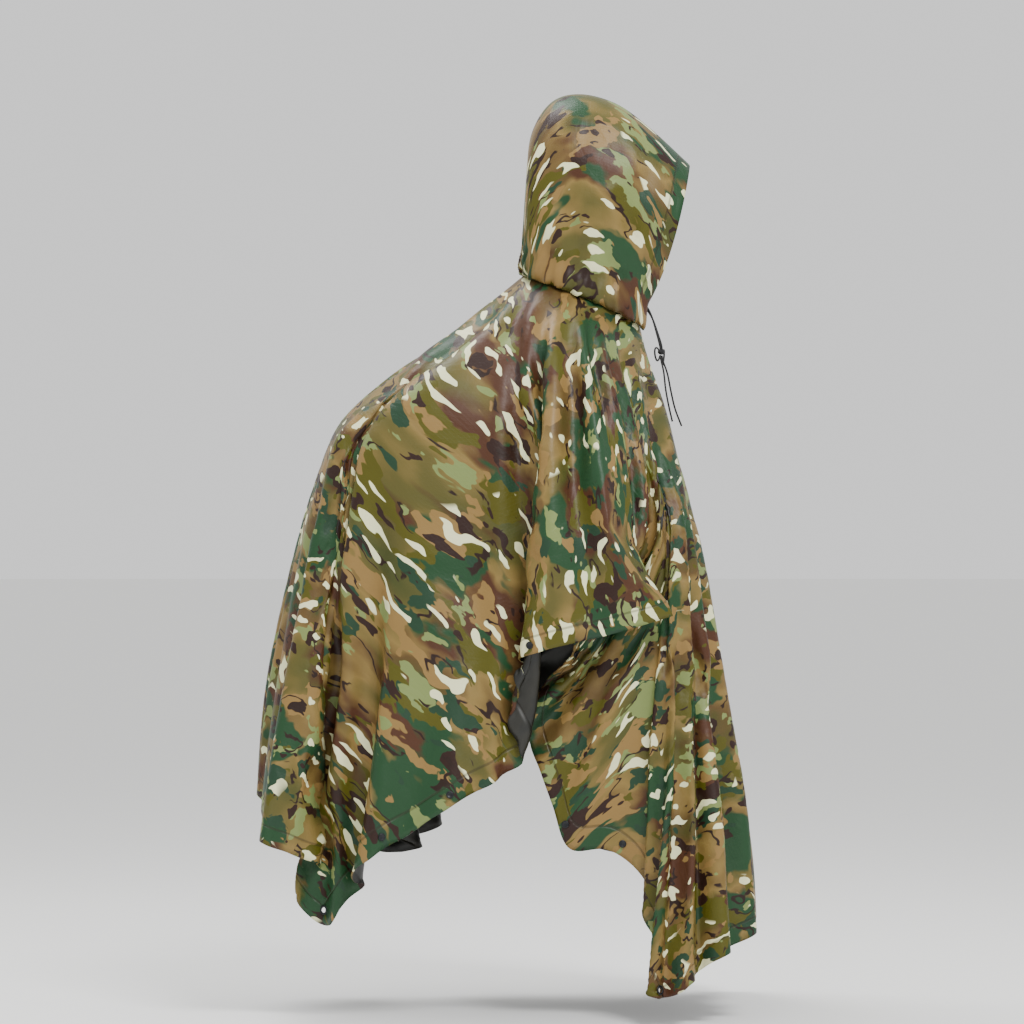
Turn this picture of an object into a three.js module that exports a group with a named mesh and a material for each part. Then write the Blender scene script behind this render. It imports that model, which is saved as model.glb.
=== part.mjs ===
// Hooded rain poncho, worn over a general figure with a rucksack-sized hump at the back.
// One rectangle of coated ripstop with a neck hole in its middle hangs over shoulders and bent arms;
// a two-panel hood is sewn into the hole. The hem is turned in all round, with press snaps along both
// sides and an eyelet in each corner. A cord in the hood's hem is tied in a bow at the throat.
// Millimetres. +X is the front, +Y the wearer's left, +Z up. The origin is where the garment is held,
// at the base of the neck between the shoulders.

import * as THREE from 'three';

// ---- driving dimensions ----
const CUT_LENGTH = 2200;        // the rectangle, front hem to back hem
const CUT_WIDTH = 1450;         // side hem to side hem
const WALL = 2;                 // cloth wall
const SEAM_GAP = 0.4;           // clear distance where two pieces meet
const NECK = { front: 95, side: 85, rise: 20, slope: 35 };   // ring that the hood is sewn to
const YOKE = { front: 118, back: 200, side: 200, drop: 60, slope: 37 };  // cloth's turn at the shoulders
const HEM_BAND = 30;
const HEM_WALL = 1.2;
const COLUMNS_PER_FOLD = 3;     // facets between two rows of the fold tables
// Places on a fold line: 0 at the neck, 1 where it turns over the yoke, 2 at its bend, 3 at the hem.
const ROWS = [0, 0.5, 1, 1.35, 1.7, 2, 2.25, 2.5, 2.75];
const HEM_PLACE = 3;
const FOLD_TENSION = 0.3;       // how far a fold line rounds its turns: 0 is straight between them
const HOOD_ROWS = 9;
const HOOD_HEM_SHARE = 0.4;     // the band's depth as a share of the first section's
const SNAP = { radius: 6, rim: 1.2, height: 2.4, crown: 4, facets: 12 };
const SNAP_PLACES = [780, 655, 310, 165];   // along the side hems, both ways from the shoulder line
const EYELET = { outer: 8, hole: 4.5, height: 1.6, facets: 16 };
const CORD = { radius: 1.5, sides: 8, step: 7 };
const KNOT = { radius: 6, end: 3.6, halfBody: 2.6, halfLength: 6.5, facets: 10 };

// Fold tables: one row for each ridge or valley, from the centre front round to the centre back.
// Columns: place on the cut (along, across), where the fold line turns over chest, arm or hump
// (bend x, y, z), and where it ends at the hem (hem x, y, z).
const RIGHT_FOLDS = [
  [1100, 0, 190, 0, -400, 280, 0, -985],
  [1100, -250, 200, -115, -400, 290, -180, -1000],
  [1100, -480, 178, -195, -385, 205, -300, -1046],
  [1100, -725, 151, -230, -370, 125, -330, -1115],
  [860, -725, 140, -226, -362, 108, -246, -940],
  [700, -725, 127, -230, -356, 0, -246, -856],
  [620, -725, 121, -229, -354, -34, -232, -792],
  [550, -725, 115, -228, -352, -56, -228, -728],
  [460, -725, 104, -230, -350, -68, -235, -648],
  [400, -725, 97, -240, -350, -72, -248, -592],
  [340, -725, 93, -248, -349, -32, -254, -552],
  [280, -725, 89, -256, -348, 24, -260, -526],
  [200, -725, 82, -270, -344, 98, -272, -500],
  [135, -725, 73, -284, -341, 150, -284, -482],
  [90, -725, 60, -296, -340, 158, -300, -484],
  [0, -725, 25, -300, -340, 80, -322, -507],
  [-100, -725, -15, -304, -340, 0, -336, -528],
  [-270, -725, -92, -290, -340, -98, -326, -585],
  [-345, -725, -60, -256, -340, -60, -262, -640],
  [-430, -725, -95, -228, -330, -93, -250, -690],
  [-620, -725, -160, -200, -180, -189, -290, -763],
  [-860, -725, -300, -196, -180, -362, -290, -886],
  [-985, -725, -352, -184, -196, -368, -205, -945],
  [-1100, -725, -372, -175, -205, -407, -205, -994],
  [-1100, -520, -395, -165, -210, -461, -235, -900],
  [-1100, -360, -405, -120, -200, -508, -200, -860],
  [-1100, -180, -407, -60, -192, -515, -95, -800],
  [-1100, 0, -405, 0, -190, -538, 0, -775],
];
const LEFT_FOLDS = [
  [1100, 250, 198, 115, -400, 287, 160, -995],
  [1100, 480, 175, 195, -385, 262, 290, -1010],
  [1100, 725, 151, 230, -370, 200, 362, -1035],
  [860, 725, 140, 228, -362, 105, 310, -925],
  [700, 725, 127, 228, -356, -10, 256, -866],
  [550, 725, 115, 228, -352, -48, 236, -745],
  [460, 725, 104, 230, -350, -68, 235, -660],
  [400, 725, 97, 240, -350, -72, 248, -592],
  [340, 725, 93, 248, -349, -32, 254, -552],
  [280, 725, 89, 256, -348, 24, 260, -526],
  [200, 725, 82, 270, -344, 98, 272, -500],
  [135, 725, 73, 284, -341, 148, 284, -482],
  [90, 725, 60, 296, -340, 154, 300, -486],
  [0, 725, 25, 300, -340, 80, 322, -509],
  [-100, 725, -15, 304, -340, 0, 336, -530],
  [-270, 725, -90, 290, -340, -92, 326, -587],
  [-345, 725, -60, 256, -340, -60, 262, -640],
  [-430, 725, -93, 228, -330, -90, 250, -689],
  [-620, 725, -160, 200, -180, -180, 285, -763],
  [-860, 725, -270, 190, -170, -325, 260, -858],
  [-1100, 725, -365, 175, -205, -297, 175, -897],
  [-1100, 520, -390, 165, -210, -415, 230, -850],
  [-1100, 360, -405, 120, -200, -525, 175, -795],
  [-1100, 180, -407, 60, -192, -535, 80, -770],
];

// Hood sections: one row for each arch from the crown seam down to the neck ring, face edge first.
// Columns: crown x, crown z, reach of the crown to the side, cheek x, y, z, angle on the neck ring.
const HOOD_SECTIONS = [
  [180, 238, 112, 150, 122, 40, 8],
  [116, 297, 130, 118, 130, 72, 35],
  [60, 338, 140, 65, 130, 95, 62],
  [0, 354, 140, 0, 128, 105, 90],
  [-48, 340, 125, -50, 122, 110, 112],
  [-80, 288, 100, -92, 108, 105, 132],
  [-88, 213, 70, -102, 85, 95, 148],
  [-91, 131, 38, -102, 50, 80, 162],
  [-92, 70, 8, -96, 10, 62, 177],
];

// Cord routes, chosen by hand: out of the hood hem's lower ends, to the bow at the throat, and on.
const KNOT_CENTRE = [133, 0, -69];
const CORD_UPPER_RIGHT = [[108, -38.7, 4.9], [111.4, -33, 0.5], [118, -25, -14], [125, -14, -37],
  [131.5, -2.3, -61.3]];
const CORD_UPPER_LEFT = [[108, 38.7, 4.9], [111.6, 33.4, 0.3], [119, 26, -12], [127, 15, -35],
  [134.5, 2.4, -61.3]];
const BOW_RIGHT = [[131.2, -6.9, -69], [126, -19, -62], [123, -31, -70], [126, -29, -84], [131, -8.5, -75]];
const BOW_LEFT = [[134.8, 6.9, -69], [138, 19, -64], [138, 33, -74], [136, 27, -91], [135, 8.5, -75]];
const END_RIGHT = [[132, -2, -76.2], [137, -7, -101], [140, -12, -129], [145, -15, -157], [151, -16, -183]];
const END_LEFT = [[134.3, 2, -76.3], [143, 6, -102], [149, 10, -131], [156, 12, -161], [167, 13, -190]];

// ---- colours ----
const CLOTH_OUT = { color: 0x77704a, roughness: 0.55, metalness: 0 };
const HEM_CLOTH = { color: 0x6b6442, roughness: 0.55, metalness: 0 };
const CORD_BLACK = { color: 0x151515, roughness: 0.8, metalness: 0 };
const SNAP_BLACK = { color: 0x1a1b1a, roughness: 0.4, metalness: 0.6 };

const poncho = new THREE.Group();

function addPiece(name, geometry, finish) {
  const piece = new THREE.Mesh(geometry, new THREE.MeshStandardMaterial(finish));
  piece.name = name;
  poncho.add(piece);
}

const vector = ([x, y, z]) => new THREE.Vector3(x, y, z);

// ---- walls from a grid of points ----
// grid[column][row] holds { point, normal }. The wall runs from one offset to another along the
// normals, its outer face first, and is closed round its four edges. Each quad is cut along the
// diagonal from its first corner, or from its second where crossed is true.
function wallFromGrid(grid, outer, inner, crossed = false) {
  const columns = grid.length;
  const rows = grid[0].length;
  const positions = [];
  for (const offset of [outer, inner]) {
    for (const column of grid) {
      for (const { point, normal } of column) {
        positions.push(...point.clone().addScaledVector(normal, offset).toArray());
      }
    }
  }
  const at = (face, c, r) => (face * columns + c) * rows + r;
  const triangles = [];
  const quad = (a, b, c, d) => triangles.push(a, c, b, a, d, c);
  const crossedQuad = (a, b, c, d) => triangles.push(a, d, b, b, d, c);
  const faceQuad = crossed ? crossedQuad : quad;
  for (let c = 0; c + 1 < columns; c++) {
    for (let r = 0; r + 1 < rows; r++) {
      faceQuad(at(0, c, r), at(0, c, r + 1), at(0, c + 1, r + 1), at(0, c + 1, r));
      faceQuad(at(1, c, r), at(1, c + 1, r), at(1, c + 1, r + 1), at(1, c, r + 1));
    }
    quad(at(0, c, 0), at(0, c + 1, 0), at(1, c + 1, 0), at(1, c, 0));
    quad(at(0, c, rows - 1), at(1, c, rows - 1), at(1, c + 1, rows - 1), at(0, c + 1, rows - 1));
  }
  for (let r = 0; r + 1 < rows; r++) {
    quad(at(0, 0, r), at(1, 0, r), at(1, 0, r + 1), at(0, 0, r + 1));
    const last = columns - 1;
    quad(at(0, last, r), at(0, last, r + 1), at(1, last, r + 1), at(1, last, r));
  }
  const geometry = new THREE.BufferGeometry();
  geometry.setAttribute('position', new THREE.Float32BufferAttribute(positions, 3));
  geometry.setIndex(triangles);
  return geometry;
}

// Normals of a grid of points: the mean of the facets that meet at each. Closed grids wrap round.
function withNormals(points, closed) {
  const count = points.length;
  const pointAt = (c, r) => (closed ? points[(c + count) % count] : points[c] ?? [])[r];
  return points.map((line, c) => line.map((point, r) => {
    const normal = new THREE.Vector3();
    for (const [dc, dr] of [[1, 1], [1, -1], [-1, 1], [-1, -1]]) {
      const along = pointAt(c + dc, r);
      const down = pointAt(c, r + dr);
      if (!along || !down) continue;
      const facet = along.clone().sub(point).cross(down.clone().sub(point)).normalize();
      normal.addScaledVector(facet, dc * dr);
    }
    return { point, normal: normal.normalize() };
  }));
}

// The end column of a strip is drawn back a little, so that it stays clear of its neighbour.
function trimEnds(grid) {
  const drawBack = (end, next) => end.map((node, r) => {
    const step = next[r].point.clone().sub(node.point).setLength(SEAM_GAP / 2);
    return { point: node.point.clone().add(step), normal: node.normal };
  });
  const last = grid.length - 1;
  return [drawBack(grid[0], grid[1]), ...grid.slice(1, last), drawBack(grid[last], grid[last - 1])];
}

// ---- body: front and back halves of the rectangle ----
function foldLine([along, across, bendX, bendY, bendZ, hemX, hemY, hemZ]) {
  const direction = Math.atan2(across, along);
  const cos = Math.cos(direction);
  const sin = Math.sin(direction);
  const neck = vector([NECK.front * cos, NECK.side * sin, NECK.rise - NECK.slope * cos]);
  const yokeReach = cos > 0 ? YOKE.front : YOKE.back;
  const yoke = vector([yokeReach * cos, YOKE.side * sin, -YOKE.drop - YOKE.slope * cos]);
  const stops = [neck, yoke, vector([bendX, bendY, bendZ]), vector([hemX, hemY, hemZ])];
  const line = new THREE.CatmullRomCurve3(stops, false, 'catmullrom', FOLD_TENSION);
  const hanging = Math.hypot(hemX - bendX, hemY - bendY, hemZ - bendZ);
  const places = [...ROWS, HEM_PLACE - HEM_BAND / hanging, HEM_PLACE];
  return places.map((place) => line.getPoint(place / HEM_PLACE));
}

const folds = [...RIGHT_FOLDS, ...LEFT_FOLDS.slice().reverse()];
const foldLines = folds.map(foldLine);
const rowCount = foldLines[0].length;
const columnCount = folds.length * COLUMNS_PER_FOLD;
const bodyPoints = Array.from({ length: columnCount }, () => []);
for (let row = 0; row < rowCount; row++) {
  const ring = new THREE.CatmullRomCurve3(foldLines.map((line) => line[row]), true);
  for (let c = 0; c < columnCount; c++) bodyPoints[c].push(ring.getPoint(c / columnCount));
}
const body = withNormals(bodyPoints, true);

const columnOfFold = (along, across) => COLUMNS_PER_FOLD
  * folds.findIndex((fold) => fold[0] === along && fold[1] === across);
const HALF_LENGTH = CUT_LENGTH / 2;
const HALF_WIDTH = CUT_WIDTH / 2;
const rightShoulder = columnOfFold(0, -HALF_WIDTH);
const leftShoulder = columnOfFold(0, HALF_WIDTH);
const corners = {
  front_right: columnOfFold(HALF_LENGTH, -HALF_WIDTH),
  back_right: columnOfFold(-HALF_LENGTH, -HALF_WIDTH),
  back_left: columnOfFold(-HALF_LENGTH, HALF_WIDTH),
  front_left: columnOfFold(HALF_LENGTH, HALF_WIDTH),
};

// Columns from one to another, going round by way of the centre front where they pass it.
function strip(from, to, firstRow = 0) {
  const span = (to - from + columnCount) % columnCount;
  const columns = Array.from({ length: span + 1 }, (_, i) => body[(from + i) % columnCount]);
  return trimEnds(columns.map((column) => column.slice(firstRow)));
}

addPiece('front', wallFromGrid(strip(leftShoulder, rightShoulder), WALL / 2, -WALL / 2), CLOTH_OUT);
addPiece('back', wallFromGrid(strip(rightShoulder, leftShoulder), WALL / 2, -WALL / 2), CLOTH_OUT);

// ---- hems: bands turned in along the four edges ----
const hemRow = rowCount - 2;
const HEM_OUTER = -WALL / 2 - SEAM_GAP;
const hems = {
  hem_front: [corners.front_left, corners.front_right],
  hem_right: [corners.front_right, corners.back_right],
  hem_back: [corners.back_right, corners.back_left],
  hem_left: [corners.back_left, corners.front_left],
};
for (const [name, [from, to]] of Object.entries(hems)) {
  addPiece(name, wallFromGrid(strip(from, to, hemRow), HEM_OUTER, HEM_OUTER - HEM_WALL), HEM_CLOTH);
}

// ---- press snaps and eyelets: round pieces that sit flat on one facet of the hem's outside ----
// The middle of the facet's inscribed circle, and the facet's outward direction.
function facetSeat(column) {
  const next = (column + 1) % columnCount;
  const outside = ({ point, normal }) => point.clone().addScaledVector(normal, WALL / 2);
  const a = outside(body[column][hemRow]);
  const b = outside(body[column][hemRow + 1]);
  const d = outside(body[next][hemRow + 1]);
  const [da, db, dd] = [b.distanceTo(d), a.distanceTo(d), a.distanceTo(b)];
  const middle = a.clone().multiplyScalar(da).addScaledVector(b, db).addScaledVector(d, dd);
  middle.divideScalar(da + db + dd);
  const axis = d.clone().sub(a).cross(b.clone().sub(a)).normalize();
  return { middle, axis };
}

function seatOnFacet(geometry, { middle, axis }) {
  const turn = new THREE.Quaternion().setFromUnitVectors(new THREE.Vector3(0, 1, 0), axis);
  geometry.applyQuaternion(turn);
  const seat = middle.clone().addScaledVector(axis, SEAM_GAP);
  geometry.translate(seat.x, seat.y, seat.z);
  return geometry;
}

function snapGeometry() {
  const profile = [[0, 0], [SNAP.radius, 0], [SNAP.radius, SNAP.rim], [SNAP.crown, SNAP.height],
    [0, SNAP.height]];
  return new THREE.LatheGeometry(profile.map(([x, y]) => new THREE.Vector2(x, y)), SNAP.facets);
}

function eyeletGeometry() {
  const profile = [[EYELET.hole, 0], [EYELET.outer, 0], [EYELET.outer, EYELET.height],
    [EYELET.hole, EYELET.height], [EYELET.hole, 0]];
  return new THREE.LatheGeometry(profile.map(([x, y]) => new THREE.Vector2(x, y)), EYELET.facets);
}

// The column whose interval holds a place along a side hem.
function columnAlongSide(place, side) {
  for (let c = 0; c < columnCount; c++) {
    const fold = Math.floor(c / COLUMNS_PER_FOLD);
    const share = (c % COLUMNS_PER_FOLD) / COLUMNS_PER_FOLD;
    const [from, to] = [folds[fold], folds[(fold + 1) % folds.length]];
    if (from[1] !== side * HALF_WIDTH || to[1] !== from[1]) continue;
    const start = from[0] + (to[0] - from[0]) * share;
    const end = start + (to[0] - from[0]) / COLUMNS_PER_FOLD;
    if ((place - start) * (place - end) <= 0) return c;
  }
  return -1;
}

const snapPlaces = [...SNAP_PLACES, ...SNAP_PLACES.map((place) => -place).reverse()];
for (const [sideName, side] of [['right', -1], ['left', 1]]) {
  snapPlaces.forEach((place, i) => {
    const seat = facetSeat(columnAlongSide(place, side));
    addPiece(`snap_${sideName}_${i + 1}`, seatOnFacet(snapGeometry(), seat), SNAP_BLACK);
  });
}

// Each eyelet lies beside its corner on the front or back hem.
const eyeletColumns = {
  front_right: corners.front_right - 1,
  back_right: corners.back_right + 1,
  back_left: corners.back_left - 1,
  front_left: corners.front_left,
};
for (const [name, column] of Object.entries(eyeletColumns)) {
  addPiece(`eyelet_${name}`, seatOnFacet(eyeletGeometry(), facetSeat(column)), SNAP_BLACK);
}

// ---- hood: two panels joined along the crown and the back of the head ----
const HOOD_RING = { front: NECK.front - WALL - SEAM_GAP, side: NECK.side - WALL - SEAM_GAP };

function hoodArch([crownX, crownZ, reach, cheekX, cheekY, cheekZ, angle]) {
  const turn = THREE.MathUtils.degToRad(angle);
  const cos = Math.cos(turn);
  const sin = Math.sin(turn);
  const arch = new THREE.CubicBezierCurve3(
    vector([crownX, -SEAM_GAP / 2, crownZ]),
    vector([crownX, -reach, crownZ]),
    vector([cheekX, -cheekY, cheekZ]),
    vector([HOOD_RING.front * cos, -HOOD_RING.side * sin, NECK.rise - NECK.slope * cos]),
  );
  return Array.from({ length: HOOD_ROWS + 1 }, (_, i) => arch.getPointAt(i / HOOD_ROWS));
}

const arches = HOOD_SECTIONS.map(hoodArch);
const lastSection = HOOD_SECTIONS.length - 1;
const hoodShares = [0, HOOD_HEM_SHARE / lastSection];
for (let half = 2; half <= 2 * lastSection; half++) hoodShares.push(half / 2 / lastSection);
const hoodPoints = hoodShares.map(() => []);
for (let row = 0; row <= HOOD_ROWS; row++) {
  const line = new THREE.CatmullRomCurve3(arches.map((arch) => arch[row]));
  hoodShares.forEach((share, c) => hoodPoints[c].push(line.getPoint(share)));
}
const hoodRight = withNormals(hoodPoints, false);
for (const column of hoodRight) column[0].normal.setY(0).normalize();
const mirrored = (grid) => grid.slice().reverse().map((column) => column.map(({ point, normal }) => ({
  point: new THREE.Vector3(point.x, -point.y, point.z),
  normal: new THREE.Vector3(normal.x, -normal.y, normal.z),
})));
addPiece('hood_right', wallFromGrid(hoodRight, WALL / 2, -WALL / 2), CLOTH_OUT);
addPiece('hood_left', wallFromGrid(mirrored(hoodRight), WALL / 2, -WALL / 2), CLOTH_OUT);

// The hood's hem is one band round the face opening, inside both panels: their first two columns,
// with the rows of both sides in one run over the crown. It stops a row above the neck ring.
const bandRows = Array.from({ length: HOOD_ROWS }, (_, row) => [hoodRight[0][row], hoodRight[1][row]]);
const hoodHemGrid = [...bandRows.slice().reverse(), ...mirrored(bandRows.slice(1)).reverse()];
addPiece('hood_hem', wallFromGrid(hoodHemGrid, HEM_OUTER, HEM_OUTER - HEM_WALL, true), HEM_CLOTH);

// ---- drawcord: two strands out of the hood's hem, a bow, and two free ends ----
function cordGeometry(route) {
  const path = new THREE.CatmullRomCurve3(route.map(vector));
  const section = new THREE.Shape();
  for (let i = 0; i < CORD.sides; i++) {
    const turn = (2 * Math.PI * i) / CORD.sides;
    const [x, y] = [CORD.radius * Math.cos(turn), CORD.radius * Math.sin(turn)];
    if (i === 0) section.moveTo(x, y);
    else section.lineTo(x, y);
  }
  section.closePath();
  const steps = Math.ceil(path.getLength() / CORD.step);
  return new THREE.ExtrudeGeometry(section, { extrudePath: path, steps, bevelEnabled: false });
}

function knotGeometry() {
  const profile = [[0, -KNOT.halfLength], [KNOT.end, -KNOT.halfLength], [KNOT.radius, -KNOT.halfBody],
    [KNOT.radius, KNOT.halfBody], [KNOT.end, KNOT.halfLength], [0, KNOT.halfLength]];
  const knot = new THREE.LatheGeometry(profile.map(([x, y]) => new THREE.Vector2(x, y)), KNOT.facets);
  knot.rotateX(Math.PI / 2);
  return knot.translate(...KNOT_CENTRE);
}

addPiece('cord_upper_right', cordGeometry(CORD_UPPER_RIGHT), CORD_BLACK);
addPiece('cord_upper_left', cordGeometry(CORD_UPPER_LEFT), CORD_BLACK);
addPiece('cord_knot', knotGeometry(), CORD_BLACK);
addPiece('bow_right', cordGeometry(BOW_RIGHT), CORD_BLACK);
addPiece('bow_left', cordGeometry(BOW_LEFT), CORD_BLACK);
addPiece('cord_end_right', cordGeometry(END_RIGHT), CORD_BLACK);
addPiece('cord_end_left', cordGeometry(END_LEFT), CORD_BLACK);

export default poncho;
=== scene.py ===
# Hooded rain poncho, worn over a figure with a load on the back.
# Metres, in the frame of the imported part: +X front, +Y the wearer's left, +Z up, origin at the base
# of the neck.
import math

import bmesh
import bpy
import numpy as np
from mathutils import Matrix, Vector, kdtree


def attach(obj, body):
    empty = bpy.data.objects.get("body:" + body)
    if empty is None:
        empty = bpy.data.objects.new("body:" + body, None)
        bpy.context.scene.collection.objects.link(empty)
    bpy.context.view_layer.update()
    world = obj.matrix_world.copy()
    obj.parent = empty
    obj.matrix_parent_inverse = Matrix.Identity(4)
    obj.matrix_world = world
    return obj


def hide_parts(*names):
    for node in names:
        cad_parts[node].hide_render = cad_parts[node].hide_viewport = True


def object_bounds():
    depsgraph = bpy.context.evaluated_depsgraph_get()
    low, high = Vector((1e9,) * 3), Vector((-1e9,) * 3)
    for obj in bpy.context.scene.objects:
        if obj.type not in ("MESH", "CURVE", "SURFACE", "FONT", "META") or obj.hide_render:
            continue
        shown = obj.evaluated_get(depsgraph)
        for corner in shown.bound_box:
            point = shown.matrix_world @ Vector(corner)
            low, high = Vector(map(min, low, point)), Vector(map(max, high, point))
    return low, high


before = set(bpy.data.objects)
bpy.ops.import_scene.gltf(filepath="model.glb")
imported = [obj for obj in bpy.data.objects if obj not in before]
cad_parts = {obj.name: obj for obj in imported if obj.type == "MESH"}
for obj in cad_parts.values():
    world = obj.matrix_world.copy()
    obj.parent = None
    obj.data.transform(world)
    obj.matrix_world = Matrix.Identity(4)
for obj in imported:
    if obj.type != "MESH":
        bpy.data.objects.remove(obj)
cad_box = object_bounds()
bpy.ops.object.select_all(action="DESELECT")
scene = bpy.context.scene


# ---- camera, floor and light ----
# A long lens level with the garment's middle looks along +Y at the wearer's right side.
# The floor is one pale sheet, and two large soft lamps and an even white surround light the cloth.
VIEW_CENTRE = Vector((-0.1115, 0.0, -0.331))
VIEW_WIDTH = 1.679
LENS = 200.0
SENSOR = 36.0

camera_data = bpy.data.cameras.new("camera")
camera_data.lens = LENS
camera_data.sensor_width = SENSOR
camera_data.clip_end = 100.0
camera = bpy.data.objects.new("camera", camera_data)
scene.collection.objects.link(camera)
camera.location = VIEW_CENTRE + Vector((0.0, -VIEW_WIDTH * LENS / SENSOR, 0.0))
camera.rotation_euler = (math.radians(90), 0.0, 0.0)
scene.camera = camera


def linear(colour):
    """An sRGB hex colour as linear RGBA."""
    channels = [int(colour[i:i + 2], 16) / 255 for i in (0, 2, 4)]
    return [c / 12.92 if c <= 0.04045 else ((c + 0.055) / 1.055) ** 2.4 for c in channels] + [1.0]


def add(tree, kind, inputs=None, **settings):
    """A node with its settings, and its inputs set to values or joined to other nodes' sockets."""
    new = tree.nodes.new(kind)
    for name, value in settings.items():
        setattr(new, name, value)
    for key, value in (inputs or {}).items():
        if isinstance(value, bpy.types.NodeSocket):
            tree.links.new(value, new.inputs[key])
        else:
            new.inputs[key].default_value = value
    return new


def new_material(name):
    """An empty material: its node tree and its Principled shader, joined to the output."""
    material = bpy.data.materials.new(name)
    material.use_nodes = True
    tree = material.node_tree
    tree.nodes.clear()
    shader = add(tree, "ShaderNodeBsdfPrincipled")
    add(tree, "ShaderNodeOutputMaterial", {"Surface": shader.outputs["BSDF"]})
    return material, tree, shader


FLOOR_DROP = 0.03

bpy.ops.mesh.primitive_circle_add(vertices=96, radius=60.0, fill_type="NGON",
                                  location=(0, 0, cad_box[0][2] - FLOOR_DROP))
floor = bpy.context.active_object
floor.name = "floor"
floor_paint, tree, shader = new_material("matt white floor paint")
shader.inputs["Base Color"].default_value = linear("F4F4F2")
shader.inputs["Roughness"].default_value = 0.9
floor.data.materials.append(floor_paint)

world = bpy.data.worlds.new("surround")
scene.world = world
world.use_nodes = True
world.node_tree.nodes["Background"].inputs["Color"].default_value = linear("FFFFFF")
world.node_tree.nodes["Background"].inputs["Strength"].default_value = 1.0

LAMPS = [
    # name, place, size, power
    ("lamp_key", (1.4, -3.4, 3.2), 1.4, 210.0),
    ("lamp_top", (-1.2, 0.8, 3.0), 1.6, 110.0),
]
for name, place, size, power in LAMPS:
    lamp_data = bpy.data.lights.new(name, "AREA")
    lamp_data.energy = power
    lamp_data.size = size
    lamp = bpy.data.objects.new(name, lamp_data)
    scene.collection.objects.link(lamp)
    lamp.location = place
    lamp.rotation_euler = (Vector((-0.1, 0.0, -0.4)) - lamp.location).to_track_quat("-Z", "Y").to_euler()


# ---- drawcord ----
# A 3 mm braided polyester cord runs in the hood's hem. Its two ends come out at the throat, are tied
# in a bow, and hang free. Each half is one length of cord: strand, loop and end.
CORD_DIAMETER = 0.003
CORD_STEP = 0.0015       # the cord's points are this far apart
EASING_PASSES = 14       # softens its tightest bends, at the knot
KNOT_CENTRE = (0.133, 0.0, -0.069)
CORD_ROUTES = {
    "right": [(108, -38.7, 4.9), (111.4, -33, 0.5), (118, -25, -14), (125, -14, -37), (131.5, -2.6, -61),
              (132.2, -2.4, -67), (131.2, -7.4, -69), (126, -19, -62), (122, -29, -64), (122, -33, -75),
              (125, -29, -84), (129.5, -14, -80), (131.6, -4, -73), (132, -2, -78), (137, -7, -101),
              (140, -12, -129), (145, -15, -157), (151, -16, -183)],
    "left": [(108, 38.7, 4.9), (111.6, 33.4, 0.3), (119, 26, -12), (127, 15, -35), (134.5, 2.6, -61),
             (134.6, 2.4, -67), (134.8, 7.4, -69), (138, 19, -64), (139, 31, -70), (138, 32, -82),
             (136, 26, -91), (135, 12, -82), (134.4, 4, -73), (134.3, 2, -78), (143, 6, -102),
             (149, 10, -131), (156, 12, -161), (167, 13, -190)],
}


def through(points, share):
    """Points of a centripetal Catmull-Rom curve at places given in steps of its points."""
    points = np.asarray(points, float)
    share = np.asarray(share, float)
    count = len(points)
    ends = np.concatenate([[2 * points[0] - points[1]], points, [2 * points[-1] - points[-2]]])
    first = np.clip(np.floor(share).astype(int), 0, count - 2)
    return between(*[ends[first + k] for k in range(4)], share - first)


def between(a, b, c, d, part):
    """The centripetal Catmull-Rom span from b to c, at a share from 0 to 1."""
    def step(p, q):
        return np.maximum(np.linalg.norm(q - p, axis=-1), 1e-6) ** 0.5
    t1 = step(a, b)
    t2 = t1 + step(b, c)
    t3 = t2 + step(c, d)
    t = t1 + part * (t2 - t1)
    t1, t2, t3, t = (x[..., None] for x in (t1, t2, t3, t))
    ab = (t1 - t) / t1 * a + t / t1 * b
    bc = (t2 - t) / (t2 - t1) * b + (t - t1) / (t2 - t1) * c
    cd = (t3 - t) / (t3 - t2) * c + (t - t2) / (t3 - t2) * d
    abc = (t2 - t) / t2 * ab + t / t2 * bc
    bcd = (t3 - t) / (t3 - t1) * bc + (t - t1) / (t3 - t1) * cd
    return (t2 - t) / (t2 - t1) * abc + (t - t1) / (t2 - t1) * bcd


cord_black, tree, shader = new_material("braided black polyester cord")
# Braid strands about 1 mm wide, laid at a slant, give the black cord a dull broken sheen.
place = add(tree, "ShaderNodeTexCoord")
braid = add(tree, "ShaderNodeTexWave", {"Vector": place.outputs["Object"], "Scale": 160.0, "Distortion": 1.5},
            bands_direction="DIAGONAL")
shader.inputs["Base Color"].default_value = linear("141416")
shader.inputs["Roughness"].default_value = 0.7
bump = add(tree, "ShaderNodeBump", {"Height": braid.outputs["Fac"], "Strength": 0.5, "Distance": 0.0004})
tree.links.new(bump.outputs["Normal"], shader.inputs["Normal"])

# The knot: the cord's own turns, drawn tight round the bow's middle.
bpy.ops.object.select_all(action="DESELECT")
turns = []
for tilt, lean, radius in ((0, 0, 0.0043), (35, 20, 0.0041), (-40, 10, 0.0040)):
    bpy.ops.mesh.primitive_torus_add(major_segments=28, minor_segments=10, major_radius=radius,
                                     minor_radius=CORD_DIAMETER / 2, location=KNOT_CENTRE,
                                     rotation=(math.radians(tilt), math.radians(lean), 0))
    turns.append(bpy.context.active_object)
for turn in turns:
    turn.select_set(True)
bpy.context.view_layer.objects.active = turns[0]
bpy.ops.object.join()
knot = bpy.context.active_object
knot.name = "drawcord_knot"
bpy.ops.object.transform_apply(location=True, rotation=True, scale=True)
bpy.ops.object.shade_smooth()
knot.data.materials.append(cord_black)
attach(knot, "root")
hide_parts("cord_knot")

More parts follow.
